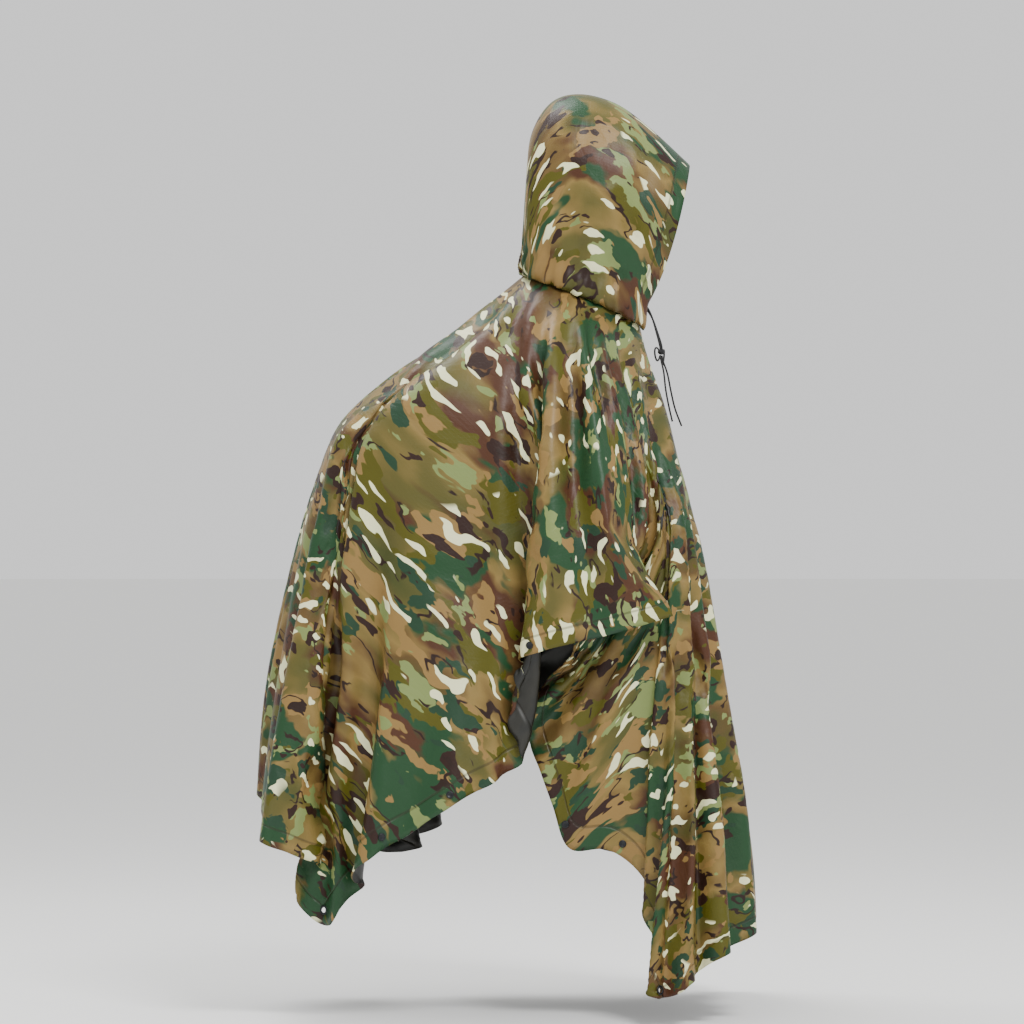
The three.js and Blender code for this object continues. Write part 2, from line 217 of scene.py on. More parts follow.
for side, route in CORD_ROUTES.items():
    route = np.array(route) / 1000
    line = through(route, np.linspace(0, len(route) - 1, 8 * (len(route) - 1) + 1))
    walked = np.append(0, np.cumsum(np.linalg.norm(np.diff(line, axis=0), axis=1)))
    even = np.linspace(0, walked[-1], round(walked[-1] / CORD_STEP) + 1)
    line = np.stack([np.interp(even, walked, line[:, axis]) for axis in range(3)], axis=1)
    for _ in range(EASING_PASSES):
        line[1:-1] = line[1:-1] / 2 + (line[:-2] + line[2:]) / 4
    curve = bpy.data.curves.new("drawcord_" + side, "CURVE")
    curve.dimensions = "3D"
    curve.bevel_depth = CORD_DIAMETER / 2
    curve.bevel_resolution = 3
    curve.use_fill_caps = True
    spline = curve.splines.new("POLY")
    spline.points.add(len(line) - 1)
    for point, at in zip(spline.points, line):
        point.co = (*at, 1.0)
    spline.use_smooth = True
    cord = bpy.data.objects.new("drawcord_" + side, curve)
    scene.collection.objects.link(cord)
    curve.materials.append(cord_black)
    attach(cord, "root")
    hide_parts("cord_upper_" + side, "bow_" + side, "cord_end_" + side)


# ---- body ----
# One rectangle of coated polyester ripstop, 2.2 by 1.45 m, with a neck hole in its middle. It hangs
# over the shoulders, bent forearms and the load, so its place is set fold by fold, and cloth
# simulation then settles the slack between the folds.
CUT_LENGTH = 2.2
CUT_WIDTH = 1.45
NECK_FRONT = 0.095
NECK_SIDE = 0.085
NECK_RISE = 0.020
NECK_SLOPE = 0.035
YOKE_FRONT = 0.118
YOKE_BACK = 0.200
YOKE_SIDE = 0.200
YOKE_DROP = 0.060
YOKE_SLOPE = 0.037
HEM_BAND = 0.030
CLOTH_WALL = 0.0012
CELL = 0.018             # cloth cells before the finish subdivides them once
FOLD_TENSION = 0.30      # how far a fold line rounds its turns: 0 is straight between them
FOLD_SAMPLES = 120
FOLD_STEPS = 40

# Fold lines from the neck to the hem, round from the centre front by way of the right side, in
# millimetres. Columns: place on the cut (along, across), where the fold turns over chest, arm or load
# (bend x, y, z), and where it ends at the hem (hem x, y, z).
FOLDS = np.array([
    (1100, 0, 190, 0, -400, 280, 0, -985),
    (1100, -250, 200, -115, -400, 290, -180, -1000),
    (1100, -480, 178, -195, -385, 205, -300, -1046),
    (1100, -725, 151, -230, -370, 125, -330, -1115),
    (860, -725, 140, -226, -362, 108, -246, -940),
    (780, -725, 133, -229, -359, 40, -246, -868),
    (700, -725, 127, -230, -356, -24, -246, -866),
    (620, -725, 121, -229, -354, -48, -232, -800),
    (550, -725, 115, -228, -352, -72, -228, -735),
    (460, -725, 104, -230, -350, -90, -235, -672),
    (400, -725, 97, -240, -350, -90, -248, -612),
    (340, -725, 93, -248, -349, -74, -254, -568),
    (280, -725, 89, -256, -348, -20, -260, -536),
    (200, -725, 82, -270, -344, 98, -272, -500),
    (135, -725, 73, -284, -341, 150, -284, -482),
    (90, -725, 60, -296, -340, 158, -300, -484),
    (0, -725, 25, -300, -340, 80, -322, -507),
    (-100, -725, -15, -304, -340, 0, -336, -528),
    (-270, -725, -92, -290, -340, -98, -326, -585),
    (-345, -725, -60, -256, -340, -60, -262, -640),
    (-430, -725, -95, -228, -330, -93, -250, -690),
    (-620, -725, -160, -200, -180, -189, -290, -763),
    (-860, -725, -300, -196, -180, -362, -290, -886),
    (-985, -725, -352, -184, -196, -368, -205, -945),
    (-1100, -725, -374, -160, -206, -407, -195, -996),
    (-1100, -640, -383, -152, -208, -462, -200, -948),
    (-1100, -590, -387, -141, -207, -438, -160, -934),
    (-1100, -540, -392, -140, -206, -412, -160, -914),
    (-1100, -470, -397, -150, -206, -440, -219, -889),
    (-1100, -390, -404, -142, -202, -480, -238, -866),
    (-1100, -290, -408, -105, -196, -512, -188, -848),
    (-1100, -150, -408, -50, -192, -520, -75, -790),
    (-1100, 0, -405, 0, -190, -538, 0, -775),
    (-1100, 180, -407, 60, -192, -535, 80, -770),
    (-1100, 360, -405, 120, -200, -525, 175, -795),
    (-1100, 520, -390, 165, -210, -415, 230, -850),
    (-1100, 725, -365, 175, -205, -297, 175, -897),
    (-860, 725, -250, 190, -170, -240, 285, -838),
    (-620, 725, -160, 200, -180, -180, 285, -763),
    (-430, 725, -93, 228, -330, -62, 250, -689),
    (-345, 725, -60, 256, -340, -24, 262, -640),
    (-270, 725, -90, 290, -340, -66, 326, -587),
    (-100, 725, -15, 304, -340, 0, 336, -530),
    (0, 725, 25, 300, -340, 80, 322, -509),
    (90, 725, 60, 296, -340, 154, 300, -486),
    (135, 725, 73, 284, -341, 148, 284, -482),
    (200, 725, 82, 270, -344, 98, 272, -500),
    (280, 725, 89, 256, -348, -40, 260, -540),
    (340, 725, 93, 248, -349, -102, 254, -576),
    (400, 725, 97, 240, -350, -116, 248, -620),
    (460, 725, 104, 230, -350, -92, 235, -670),
    (550, 725, 115, 228, -352, -48, 236, -745),
    (700, 725, 127, 228, -356, -10, 256, -866),
    (860, 725, 140, 228, -362, 105, 310, -925),
    (1100, 725, 151, 230, -370, 200, 362, -1035),
    (1100, 480, 175, 195, -385, 262, 290, -1010),
    (1100, 250, 198, 115, -400, 287, 160, -995),
]) / 1000

# Fold lines as rows of points, evenly spaced from neck to hem.
turn = np.arctan2(FOLDS[:, 1], FOLDS[:, 0])
cos, sin = np.cos(turn), np.sin(turn)
neck = np.stack([NECK_FRONT * cos, NECK_SIDE * sin, NECK_RISE - NECK_SLOPE * cos], axis=1)
yoke = np.stack([np.where(cos > 0, YOKE_FRONT, YOKE_BACK) * cos, YOKE_SIDE * sin,
                 -YOKE_DROP - YOKE_SLOPE * cos], axis=1)
stops = np.stack([neck, yoke, FOLDS[:, 2:5], FOLDS[:, 5:8]])
ends = np.concatenate([[2 * stops[0] - stops[1]], stops, [2 * stops[-1] - stops[-2]]])
pull = FOLD_TENSION * (ends[2:] - ends[:-2])
samples = []
for place in np.linspace(0, 3, FOLD_SAMPLES + 1):
    first = min(int(place), 2)
    t = place - first
    samples.append((2 * t ** 3 - 3 * t ** 2 + 1) * stops[first] + (t ** 3 - 2 * t ** 2 + t) * pull[first]
                   + (3 * t ** 2 - 2 * t ** 3) * stops[first + 1] + (t ** 3 - t ** 2) * pull[first + 1])
samples = np.array(samples)
walked = np.concatenate([np.zeros((1, len(FOLDS))),
                         np.cumsum(np.linalg.norm(np.diff(samples, axis=0), axis=2), axis=0)])
fold_lines = np.array([
    [np.interp(np.linspace(0, walked[-1, f], FOLD_STEPS + 1), walked[:, f], samples[:, f, axis])
     for axis in range(3)] for f in range(len(FOLDS))]).transpose(0, 2, 1)


def round_the_edge(along, across):
    """How far round the cut's edge a point of it is, from the centre front by way of the right side."""
    half_length, half_width = CUT_LENGTH / 2, CUT_WIDTH / 2
    on = [np.isclose(along, half_length) & (across <= 0), np.isclose(across, -half_width),
          np.isclose(along, -half_length), np.isclose(across, half_width)]
    far = [-across, half_width + half_length - along,
           half_width + CUT_LENGTH + half_width + across,
           half_width + CUT_LENGTH + CUT_WIDTH + half_length + along]
    return np.select(on, far, half_width + 2 * CUT_LENGTH + CUT_WIDTH + half_width - across)


fold_places = round_the_edge(FOLDS[:, 0], FOLDS[:, 1])

# Slack: between two fold lines there is more cloth than room, so it stands in waves whose depth takes
# up the difference, shallow at the neck. A half wave takes about 90 mm of cloth, and clearly narrower
# stretches stay flat.
HALF_WAVE = 0.09
NARROWEST_WAVE = 0.9 * HALF_WAVE
DEEPEST_WAVE = 0.03
flat_reach = 1 / np.hypot(FOLDS[:, 0] / NECK_FRONT, FOLDS[:, 1] / NECK_SIDE)
flat_share = flat_reach[:, None] + (1 - flat_reach[:, None]) * np.linspace(0, 1, FOLD_STEPS + 1)
flat_lines = FOLDS[:, None, :2] * flat_share[..., None]
flat_width = np.linalg.norm(np.roll(flat_lines, -1, axis=0) - flat_lines, axis=2)
to_next = np.roll(fold_lines, -1, axis=0) - fold_lines
room = np.maximum(np.linalg.norm(to_next, axis=2), 1e-4)
half_waves = np.maximum(1, np.round(flat_width[:, -1] / HALF_WAVE))
depth = 2 * room / half_waves[:, None] / math.pi * np.sqrt(np.maximum(flat_width / room - 1, 0))
depth = np.minimum(depth, DEEPEST_WAVE) * np.clip(np.linspace(0, 4, FOLD_STEPS + 1), 0, 1)
depth *= (np.where(np.arange(len(FOLDS)) % 2, 1, -1) * (flat_width[:, -1] > NARROWEST_WAVE))[:, None]
away = np.cross(to_next, np.gradient(fold_lines, axis=1))
away /= np.maximum(np.linalg.norm(away, axis=2, keepdims=True), 1e-9)
waves = away * depth[..., None]


def worn(cut):
    """Where points of the flat cut hang, from the fold lines."""
    along, across = cut[:, 0], cut[:, 1]
    tiny = 1e-9
    out = np.minimum(CUT_LENGTH / 2 / np.maximum(abs(along), tiny),
                     CUT_WIDTH / 2 / np.maximum(abs(across), tiny))
    inner = 1 / np.hypot(along / NECK_FRONT, across / NECK_SIDE)
    share = np.clip((1 - inner) / np.maximum(out - inner, tiny), 0, 1) * FOLD_STEPS
    edge = round_the_edge(along * out, across * out)
    around = np.interp(edge, np.append(fold_places, fold_places[0] + 2 * (CUT_LENGTH + CUT_WIDTH)),
                       np.arange(len(FOLDS) + 1))
    fold = np.floor(around).astype(int)
    row = np.minimum(share.astype(int), FOLD_STEPS - 1)
    rows = []
    for r in (row, row + 1):
        near = [fold_lines[(fold + k) % len(FOLDS), r] for k in (-1, 0, 1, 2)]
        rise = np.sin(math.pi * half_waves[fold % len(FOLDS)] * (around - fold))
        rows.append(between(*near, around - fold) + waves[fold % len(FOLDS), r] * rise[:, None])
    part = (share - row)[:, None]
    return rows[0] * (1 - part) + rows[1] * part


def cut_lines(length):
    """Grid lines across the cut: two cells to each hem band, even cells between."""
    half = length / 2
    middle = np.linspace(-half + HEM_BAND, half - HEM_BAND, round((length - 2 * HEM_BAND) / CELL) + 1)
    return np.concatenate([[-half, -half + HEM_BAND / 2], middle, [half - HEM_BAND / 2, half]])


columns, rows = cut_lines(CUT_LENGTH), cut_lines(CUT_WIDTH)
number, cut = {}, []
for i, along in enumerate(columns):
    for j, across in enumerate(rows):
        reach = math.hypot(along / NECK_FRONT, across / NECK_SIDE)
        if reach < 0.9:
            continue
        number[i, j] = len(cut)
        cut.append((along / reach, across / reach) if reach < 1.12 else (along, across))
cut = np.array(cut)
faces = []
for i in range(len(columns) - 1):
    for j in range(len(rows) - 1):
        corners = [number[c] for c in ((i, j), (i + 1, j), (i + 1, j + 1), (i, j + 1)) if c in number]
        if len(corners) >= 3:
            faces.append(corners)

mesh = bpy.data.meshes.new("body")
mesh.from_pydata([(x, y, 0.0) for x, y in cut], [], faces)
body = bpy.data.objects.new("body", mesh)
scene.collection.objects.link(body)

UV_SPAN = CUT_LENGTH      # one unit of every cloth piece's UV map is this many metres of cloth
cut_map = mesh.uv_layers.new(name="cut")
for loop in mesh.loops:
    cut_map.data[loop.index].uv = cut[loop.vertex_index] / UV_SPAN + 0.5

SETTLE_FRAMES = 25
HELD = 0.2                # how strongly the figure's shape holds the cloth to its folds
HELD_CORNER = 0.6         # the four corners keep their turned-out flaps
CORNER_REACH = 0.14       # how far from a corner that stronger hold goes
hanging = worn(cut)
body.shape_key_add(name="cut flat")
key = body.shape_key_add(name="hung")
key.data.foreach_set("co", hanging.ravel())
key.value = 1.0
hold = body.vertex_groups.new(name="held")
for v, (along, across) in enumerate(cut):
    at_neck = math.hypot(along / NECK_FRONT, across / NECK_SIDE) < 1.03
    at_corner = math.hypot(CUT_LENGTH / 2 - abs(along), CUT_WIDTH / 2 - abs(across)) < CORNER_REACH
    hold.add([v], 1.0 if at_neck else HELD_CORNER if at_corner else HELD, "REPLACE")
cloth = body.modifiers.new("settle", "CLOTH")
cloth.settings.quality = 8
cloth.settings.mass = 0.12
cloth.settings.tension_stiffness = 40
cloth.settings.compression_stiffness = 40
cloth.settings.shear_stiffness = 15
cloth.settings.bending_stiffness = 1.0
cloth.settings.vertex_group_mass = "held"
cloth.settings.pin_stiffness = 1.0
cloth.settings.rest_shape_key = mesh.shape_keys.key_blocks["cut flat"]
cloth.collision_settings.use_self_collision = True
cloth.collision_settings.self_distance_min = 0.004
cloth.collision_settings.self_friction = 8
cloth.point_cache.frame_end = SETTLE_FRAMES
for step in range(1, SETTLE_FRAMES + 1):
    scene.frame_set(step)
settled = np.empty(len(cut) * 3, np.float32)
body.evaluated_get(bpy.context.evaluated_depsgraph_get()).data.vertices.foreach_get("co", settled)
body.modifiers.clear()
body.shape_key_clear()
body.vertex_groups.clear()
scene.frame_set(1)
mesh.vertices.foreach_set("co", settled)

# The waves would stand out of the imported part's box, so cloth within EASE of the box's sides, and
# past them, is eased inwards to end just inside.
EASE = 0.05
INSIDE = 0.004
low, high = np.array(cad_box[0]) + INSIDE, np.array(cad_box[1]) - INSIDE
at = np.empty(len(cut) * 3)
mesh.vertices.foreach_get("co", at)
at = at.reshape(-1, 3)
over, under = np.maximum(at - (high - EASE), 0), np.maximum(low + EASE - at, 0)
at += EASE * (np.tanh(over / EASE) - np.tanh(under / EASE)) - over + under
mesh.vertices.foreach_set("co", at.ravel())

bpy.ops.object.select_all(action="DESELECT")
body.select_set(True)
bpy.context.view_layer.objects.active = body
finer = body.modifiers.new("finer", "SUBSURF")
finer.levels = finer.render_levels = 1
finer.uv_smooth = "NONE"
bpy.ops.object.modifier_apply(modifier="finer")


def points_of(obj):
    """Vertex places and normals of a mesh, and each vertex's place on the flat cut."""
    data = obj.data
    count = len(data.vertices)
    at, normal = np.empty(count * 3), np.empty(count * 3)
    data.vertices.foreach_get("co", at)
    data.vertex_normals.foreach_get("vector", normal)
    loops, uv = np.empty(len(data.loops), int), np.empty(len(data.loops) * 2)
    data.loops.foreach_get("vertex_index", loops)
    data.uv_layers["cut"].data.foreach_get("uv", uv)
    flat = np.zeros((count, 2))
    flat[loops] = (uv.reshape(-1, 2) - 0.5) * UV_SPAN
    return at.reshape(-1, 3), normal.reshape(-1, 3), flat


at, normal, flat = points_of(body)
top = np.argmax(at[:, 2])
if normal[top, 2] < 0:
    body.data.flip_normals()
    at, normal, flat = points_of(body)

# Creases in the settled cloth, each with a low ridge beside it. Columns, in millimetres: start and end
# on the cut (along, across), width, and depth.
CREASES = [
    (-640, -430, -1080, -575, 24, 20), (-90, -200, -260, -640, 20, 14),
    (60, -105, 210, -560, 22, 9), (95, -80, 330, -520, 26, 9), (20, -110, 60, -420, 18, 7),
    (-60, -100, -130, -300, 16, 8), (-30, -110, -60, -520, 24, 7), (130, -40, 420, -330, 26, 8),
    (60, 105, 200, 540, 22, 9), (95, 80, 330, 520, 26, 8), (-50, 105, -140, 330, 18, 8),
    (20, 110, 50, 470, 20, 7), (120, 50, 400, 300, 26, 8), (-120, -40, -380, -150, 30, 5),
    (-420, -330, -760, -560, 34, 7), (-520, -180, -900, -420, 36, 6), (-430, 300, -760, 560, 34, 7),
    (-520, 160, -900, 380, 36, 6), (420, -60, 940, -120, 34, 8), (460, 90, 980, 150, 34, 8),
    (560, -300, 1010, -330, 26, 8), (560, 320, 1010, 360, 26, 8),
]


def creased(at, normal, flat, creases):
    """Vertex places moved along their normals into soft troughs that fade towards both ends."""
    move = np.zeros(len(at))
    for x0, y0, x1, y1, width, depth in np.array(creases, float) / 1000:
        run = np.array((x1 - x0, y1 - y0))
        share = ((flat - (x0, y0)) @ run) / (run @ run)
        near = np.clip(share, 0, 1)
        bow = 0.06 * np.linalg.norm(run) * np.sin(math.pi * near)
        side = np.array((-run[1], run[0])) / np.linalg.norm(run)
        off = np.linalg.norm(flat - ((x0, y0) + near[:, None] * run + bow[:, None] * side), axis=1)
        fade = np.clip(np.minimum(near, 1 - near) * 5, 0.15, 1)
        grown = width * (0.7 + 0.6 * near)
        ridge = 0.45 * np.exp(-((off - 2 * grown) / grown) ** 2)
        move -= depth * fade * (np.exp(-(off / grown) ** 2) - ridge)
    return at + normal * move[:, None]


at = creased(at, normal, flat, CREASES)
body.data.vertices.foreach_set("co", at.ravel())
body.data.update()
at, normal, flat = points_of(body)

edge = body.data.attributes.new("edge", "FLOAT", "POINT")
edge.data.foreach_set("value", np.minimum(CUT_LENGTH / 2 - abs(flat[:, 0]), CUT_WIDTH / 2 - abs(flat[:, 1])))

# Printed camouflage on coated ripstop: soft tan, olive and grey-green grounds, then harder leaf-green,
# moss and brown shapes, thin dark twigs and long pale pebbles, all drawn out across the cloth's width.
ripstop, tree, shader = new_material("printed polyurethane-coated polyester ripstop")
source = add(tree, "ShaderNodeUVMap", uv_map="cut")
metres = add(tree, "ShaderNodeMapping", {"Vector": source.outputs["UV"],
                                         "Scale": (UV_SPAN, UV_SPAN, UV_SPAN)})
# The print is drawn out 1.8 times across the width, and its outlines wander by about 15 mm.
wander = add(tree, "ShaderNodeTexNoise", {"Vector": metres.outputs["Vector"], "Scale": 22.0, "Detail": 2.0})
shift = add(tree, "ShaderNodeVectorMath", {0: wander.outputs["Color"], 1: (0.5, 0.5, 0.5)},
            operation="SUBTRACT")
shift = add(tree, "ShaderNodeVectorMath", {0: shift.outputs["Vector"], "Scale": 0.035}, operation="SCALE")
wavy = add(tree, "ShaderNodeVectorMath", {0: metres.outputs["Vector"], 1: shift.outputs["Vector"]},
           operation="ADD")
drawn = add(tree, "ShaderNodeMapping", {"Vector": wavy.outputs["Vector"], "Scale": (1.8, 1.0, 1.0)})
long = add(tree, "ShaderNodeMapping", {"Vector": wavy.outputs["Vector"], "Scale": (2.6, 1.0, 1.0)})

ground_noise = add(tree, "ShaderNodeTexNoise", {"Vector": drawn.outputs["Vector"], "Scale": 5.0,
                                                "Detail": 2.0})
ground = add(tree, "ShaderNodeValToRGB", {"Fac": ground_noise.outputs["Fac"]})
ramp = ground.color_ramp
for place, colour in ((0.30, "41451F"), (0.42, "554F24"), (0.52, "806A3A"), (0.62, "574323"),
                      (0.72, "41431B")):
    stop = ramp.elements.new(place)
    stop.color = linear(colour)
ramp.elements.remove(ramp.elements[0])
ramp.elements.remove(ramp.elements[-1])
colour_so_far = ground.outputs["Color"]

PRINT_LAYERS = [
    # colour, stretch, scale, detail, offset, threshold, edge softness
    ("472A19", drawn, 6.0, 3.0, 11.3, 0.520, 0.080),    # brown, with soft outlines
    ("1F4025", drawn, 7.5, 3.0, 3.1, 0.545, 0.030),     # leaf green
    ("4C490F", drawn, 12.0, 3.0, 7.7, 0.575, 0.008),    # moss
    ("1F3A27", drawn, 14.0, 3.0, 19.4, 0.610, 0.008),   # deep green
    ("84693B", drawn, 13.0, 3.5, 27.9, 0.605, 0.008),   # tan shapes over the green
    ("75824C", drawn, 16.0, 3.0, 41.6, 0.625, 0.008),   # pale green
    ("2A1812", drawn, 17.0, 2.5, 33.2, 0.635, 0.006),   # dark brown
]
for colour, stretch, scale, detail, offset, threshold, soft in PRINT_LAYERS:
    moved = add(tree, "ShaderNodeVectorMath", {0: stretch.outputs["Vector"],
                                               1: (offset, offset * 1.7, offset)},
                operation="ADD")
    noise = add(tree, "ShaderNodeTexNoise", {"Vector": moved.outputs["Vector"], "Scale": scale,
                                             "Detail": detail,
                                             "Roughness": 0.45})
    mask = add(tree, "ShaderNodeMapRange", {"Value": noise.outputs["Fac"], "From Min": threshold,
                                            "From Max": threshold + soft})
    mixed = add(tree, "ShaderNodeMix", {0: mask.outputs["Result"], 6: colour_so_far, 7: linear(colour)},
                data_type="RGBA")
    colour_so_far = mixed.outputs[2]

# Twigs: thin dark bands along a noise's middle level, only where a coarser noise lets them.
twig_noise = add(tree, "ShaderNodeTexNoise", {"Vector": long.outputs["Vector"], "Scale": 9.0, "Detail": 2.0})
twig_off = add(tree, "ShaderNodeMath", {0: twig_noise.outputs["Fac"], 1: 0.5}, operation="SUBTRACT")
twig_off = add(tree, "ShaderNodeMath", {0: twig_off.outputs["Value"]}, operation="ABSOLUTE")
twig = add(tree, "ShaderNodeMapRange", {"Value": twig_off.outputs["Value"], "From Min": 0.020,
                                        "From Max": 0.014})
gate_noise = add(tree, "ShaderNodeTexNoise", {"Vector": wavy.outputs["Vector"], "Scale": 16.0, "Detail": 1.0})
gate = add(tree, "ShaderNodeMapRange", {"Value": gate_noise.outputs["Fac"], "From Min": 0.53,
                                        "From Max": 0.55})
twig = add(tree, "ShaderNodeMath", {0: twig.outputs["Result"], 1: gate.outputs["Result"]},
           operation="MULTIPLY")
mixed = add(tree, "ShaderNodeMix", {0: twig.outputs["Value"], 6: colour_so_far, 7: linear("261711")},
            data_type="RGBA")
colour_so_far = mixed.outputs[2]

# Pebbles: long rounded pale shapes of 10 by 30 mm, in drifts.
pebble_noise = add(tree, "ShaderNodeTexNoise", {"Vector": long.outputs["Vector"], "Scale": 24.0,
                                                "Detail": 0.0})
pebble = add(tree, "ShaderNodeMapRange", {"Value": pebble_noise.outputs["Fac"], "From Min": 0.655,
                                          "From Max": 0.670})
drift_noise = add(tree, "ShaderNodeTexNoise", {"Vector": metres.outputs["Vector"], "Scale": 6.0,
                                               "Detail": 0.0})
drift = add(tree, "ShaderNodeMapRange", {"Value": drift_noise.outputs["Fac"], "From Min": 0.44,
                                         "From Max": 0.46})
pebble = add(tree, "ShaderNodeMath", {0: pebble.outputs["Result"], 1: drift.outputs["Result"]},
             operation="MULTIPLY")
mixed = add(tree, "ShaderNodeMix", {0: pebble.outputs["Value"], 6: colour_so_far, 7: linear("E2E2B4")},
            data_type="RGBA")
colour_so_far = mixed.outputs[2]

# The hem's row of stitches, 27 mm in from the edge, darkens and draws in the cloth.
edge_in = add(tree, "ShaderNodeAttribute", attribute_name="edge")
from_row = add(tree, "ShaderNodeMath", {0: edge_in.outputs["Fac"], 1: 0.027}, operation="SUBTRACT")
from_row = add(tree, "ShaderNodeMath", {0: from_row.outputs["Value"]}, operation="ABSOLUTE")
row_mask = add(tree, "ShaderNodeMapRange", {"Value": from_row.outputs["Value"], "From Min": 0.0022,
                                            "From Max": 0.0008})
darker = add(tree, "ShaderNodeMath", {0: row_mask.outputs["Result"], 1: 0.45}, operation="MULTIPLY")
mixed = add(tree, "ShaderNodeMix", {0: darker.outputs["Value"], 6: colour_so_far, 7: linear("2A2418")},
            data_type="RGBA")
tree.links.new(mixed.outputs[2], shader.inputs["Base Color"])
shader.inputs["Roughness"].default_value = 0.42
shader.inputs["Specular IOR Level"].default_value = 0.25

# Relief: crumples 30 to 60 mm across, the 5 mm ripstop grid and the drawn-in stitch row.
crumple = add(tree, "ShaderNodeTexNoise", {"Vector": metres.outputs["Vector"], "Scale": 26.0, "Detail": 3.0,
                                           "Distortion": 0.6})
crumple_bump = add(tree, "ShaderNodeBump", {"Height": crumple.outputs["Fac"], "Strength": 0.6,
                                            "Distance": 0.004})
grid = add(tree, "ShaderNodeTexBrick", {"Vector": metres.outputs["Vector"], "Scale": 1.0,
                                        "Mortar Size": 0.0005,
                                        "Brick Width": 0.005, "Row Height": 0.005}, offset=0.0)
grid_bump = add(tree, "ShaderNodeBump", {"Height": grid.outputs["Fac"], "Strength": 0.25, "Distance": 0.0003,
                                         "Normal": crumple_bump.outputs["Normal"]})
row_bump = add(tree, "ShaderNodeBump", {"Height": row_mask.outputs["Result"], "Strength": 0.8,
                                        "Distance": 0.0012,
                                        "Normal": grid_bump.outputs["Normal"]}, invert=True)
tree.links.new(row_bump.outputs["Normal"], shader.inputs["Normal"])

# The inside is the dark coating, darkened to near-black as painted shade for the shadowed inside of the
# poncho, with the print only just showing through.
coating_and_painted_shade, tree, shader = new_material("dark coating and painted inside shade")
source = add(tree, "ShaderNodeUVMap", uv_map="cut")
metres = add(tree, "ShaderNodeMapping", {"Vector": source.outputs["UV"],
                                         "Scale": (UV_SPAN * 1.8, UV_SPAN, UV_SPAN)})
noise = add(tree, "ShaderNodeTexNoise", {"Vector": metres.outputs["Vector"], "Scale": 9.0, "Detail": 3.0,
                                         "Distortion": 0.4})
shade = add(tree, "ShaderNodeValToRGB", {"Fac": noise.outputs["Fac"]})
ramp = shade.color_ramp
# Near-black ramp: the coating's own dark colour plus painted shade for the shadowed inside.
ramp.elements[0].position, ramp.elements[0].color = 0.45, linear("0C0D08")
ramp.elements[1].position, ramp.elements[1].color = 0.56, linear("191810")
tree.links.new(shade.outputs["Color"], shader.inputs["Base Color"])
shader.inputs["Roughness"].default_value = 0.5
bump = add(tree, "ShaderNodeBump", {"Height": noise.outputs["Fac"], "Strength": 0.4, "Distance": 0.003})
tree.links.new(bump.outputs["Normal"], shader.inputs["Normal"])


def hem_from(obj, name, keep, inwards, wall):
    """A band of a cloth mesh's own faces, moved inwards and given a wall of its own."""
    data = obj.data.copy()
    band = bpy.data.objects.new(name, data)
    scene.collection.objects.link(band)
    at, normal, flat = points_of(band)
    data.vertices.foreach_set("co", (at - normal * inwards).ravel())
    work = bmesh.new()
    work.from_mesh(data)
    uv = work.loops.layers.uv["cut"]
    drop = []
    for face in work.faces:
        middle = sum((loop[uv].uv for loop in face.loops), Vector((0, 0))) / len(face.loops)
        if not keep((middle.x - 0.5) * UV_SPAN, (middle.y - 0.5) * UV_SPAN):
            drop.append(face)
    bmesh.ops.delete(work, geom=drop, context="FACES")
    work.to_mesh(data)
    work.free()
    walled(band, wall)
    return band


def walled(obj, wall):
    """Gives a cloth mesh its thickness, with the dark coating and painted inside shade as the inside's
    material, and smooth shading.
    """
    obj.data.materials.clear()
    obj.data.materials.append(ripstop)
    obj.data.materials.append(coating_and_painted_shade)
    bpy.ops.object.select_all(action="DESELECT")
    obj.select_set(True)
    bpy.context.view_layer.objects.active = obj
    solid = obj.modifiers.new("wall", "SOLIDIFY")
    solid.thickness = wall
    solid.offset = -1.0
    solid.material_offset = 1
    solid.material_offset_rim = 0
    bpy.ops.object.modifier_apply(modifier="wall")
    bpy.ops.object.shade_smooth()
    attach(obj, "root")


# ---- eyelets' holes ----
# A round hole goes through hem and cloth in each corner before the cloth has its wall.
EYELET_HOLE = 0.0045
EYELET_INSET = 0.024      # from both edges of the corner
eyelet_seats = {}
tree_of = kdtree.KDTree(len(flat))
for v, (x, y) in enumerate(flat):
    tree_of.insert((x, y, 0.0), v)
tree_of.balance()


def seat(along, across):
    """Where a point of the cut lies on the hanging cloth, and the way out of the cloth there."""
    v = tree_of.find((along, across, 0.0))[1]
    return Vector(at[v]), Vector(normal[v]), v


for name, sx, sy in (("front_right", 1, -1), ("back_right", -1, -1), ("back_left", -1, 1),
                     ("front_left", 1, 1)):
    eyelet_seats[name] = seat(sx * (CUT_LENGTH / 2 - EYELET_INSET), sy * (CUT_WIDTH / 2 - EYELET_INSET))
work = bmesh.new()
work.from_mesh(body.data)
work.verts.ensure_lookup_table()
centres = [work.verts[v] for _, _, v in eyelet_seats.values()]
for centre in centres:
    ring = {v for face in centre.link_faces for v in face.verts} - {centre}
    for v in ring:
        v.co = centre.co + (v.co - centre.co).normalized() * EYELET_HOLE * 1.15
bmesh.ops.delete(work, geom=centres, context="VERTS")
work.to_mesh(body.data)
work.free()

# ---- hems ----
# The edges are turned in 30 mm all round and lockstitched, so a second layer lies inside the cloth.
half_length, half_width = CUT_LENGTH / 2, CUT_WIDTH / 2
HEM_INWARDS = CLOTH_WALL + 0.0005
HEM_WALL = 0.0008
hem_rules = {
    "hem_front": lambda x, y: x > half_length - HEM_BAND,
    "hem_back": lambda x, y: x < HEM_BAND - half_length,
    "hem_right": lambda x, y: y < HEM_BAND - half_width and abs(x) < half_length - HEM_BAND,
    "hem_left": lambda x, y: y > half_width - HEM_BAND and abs(x) < half_length - HEM_BAND,
}
for name, rule in hem_rules.items():
    band = hem_from(body, name + "_band", rule, HEM_INWARDS, HEM_WALL)
    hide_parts(name)
walled(body, CLOTH_WALL)
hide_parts("front", "back")

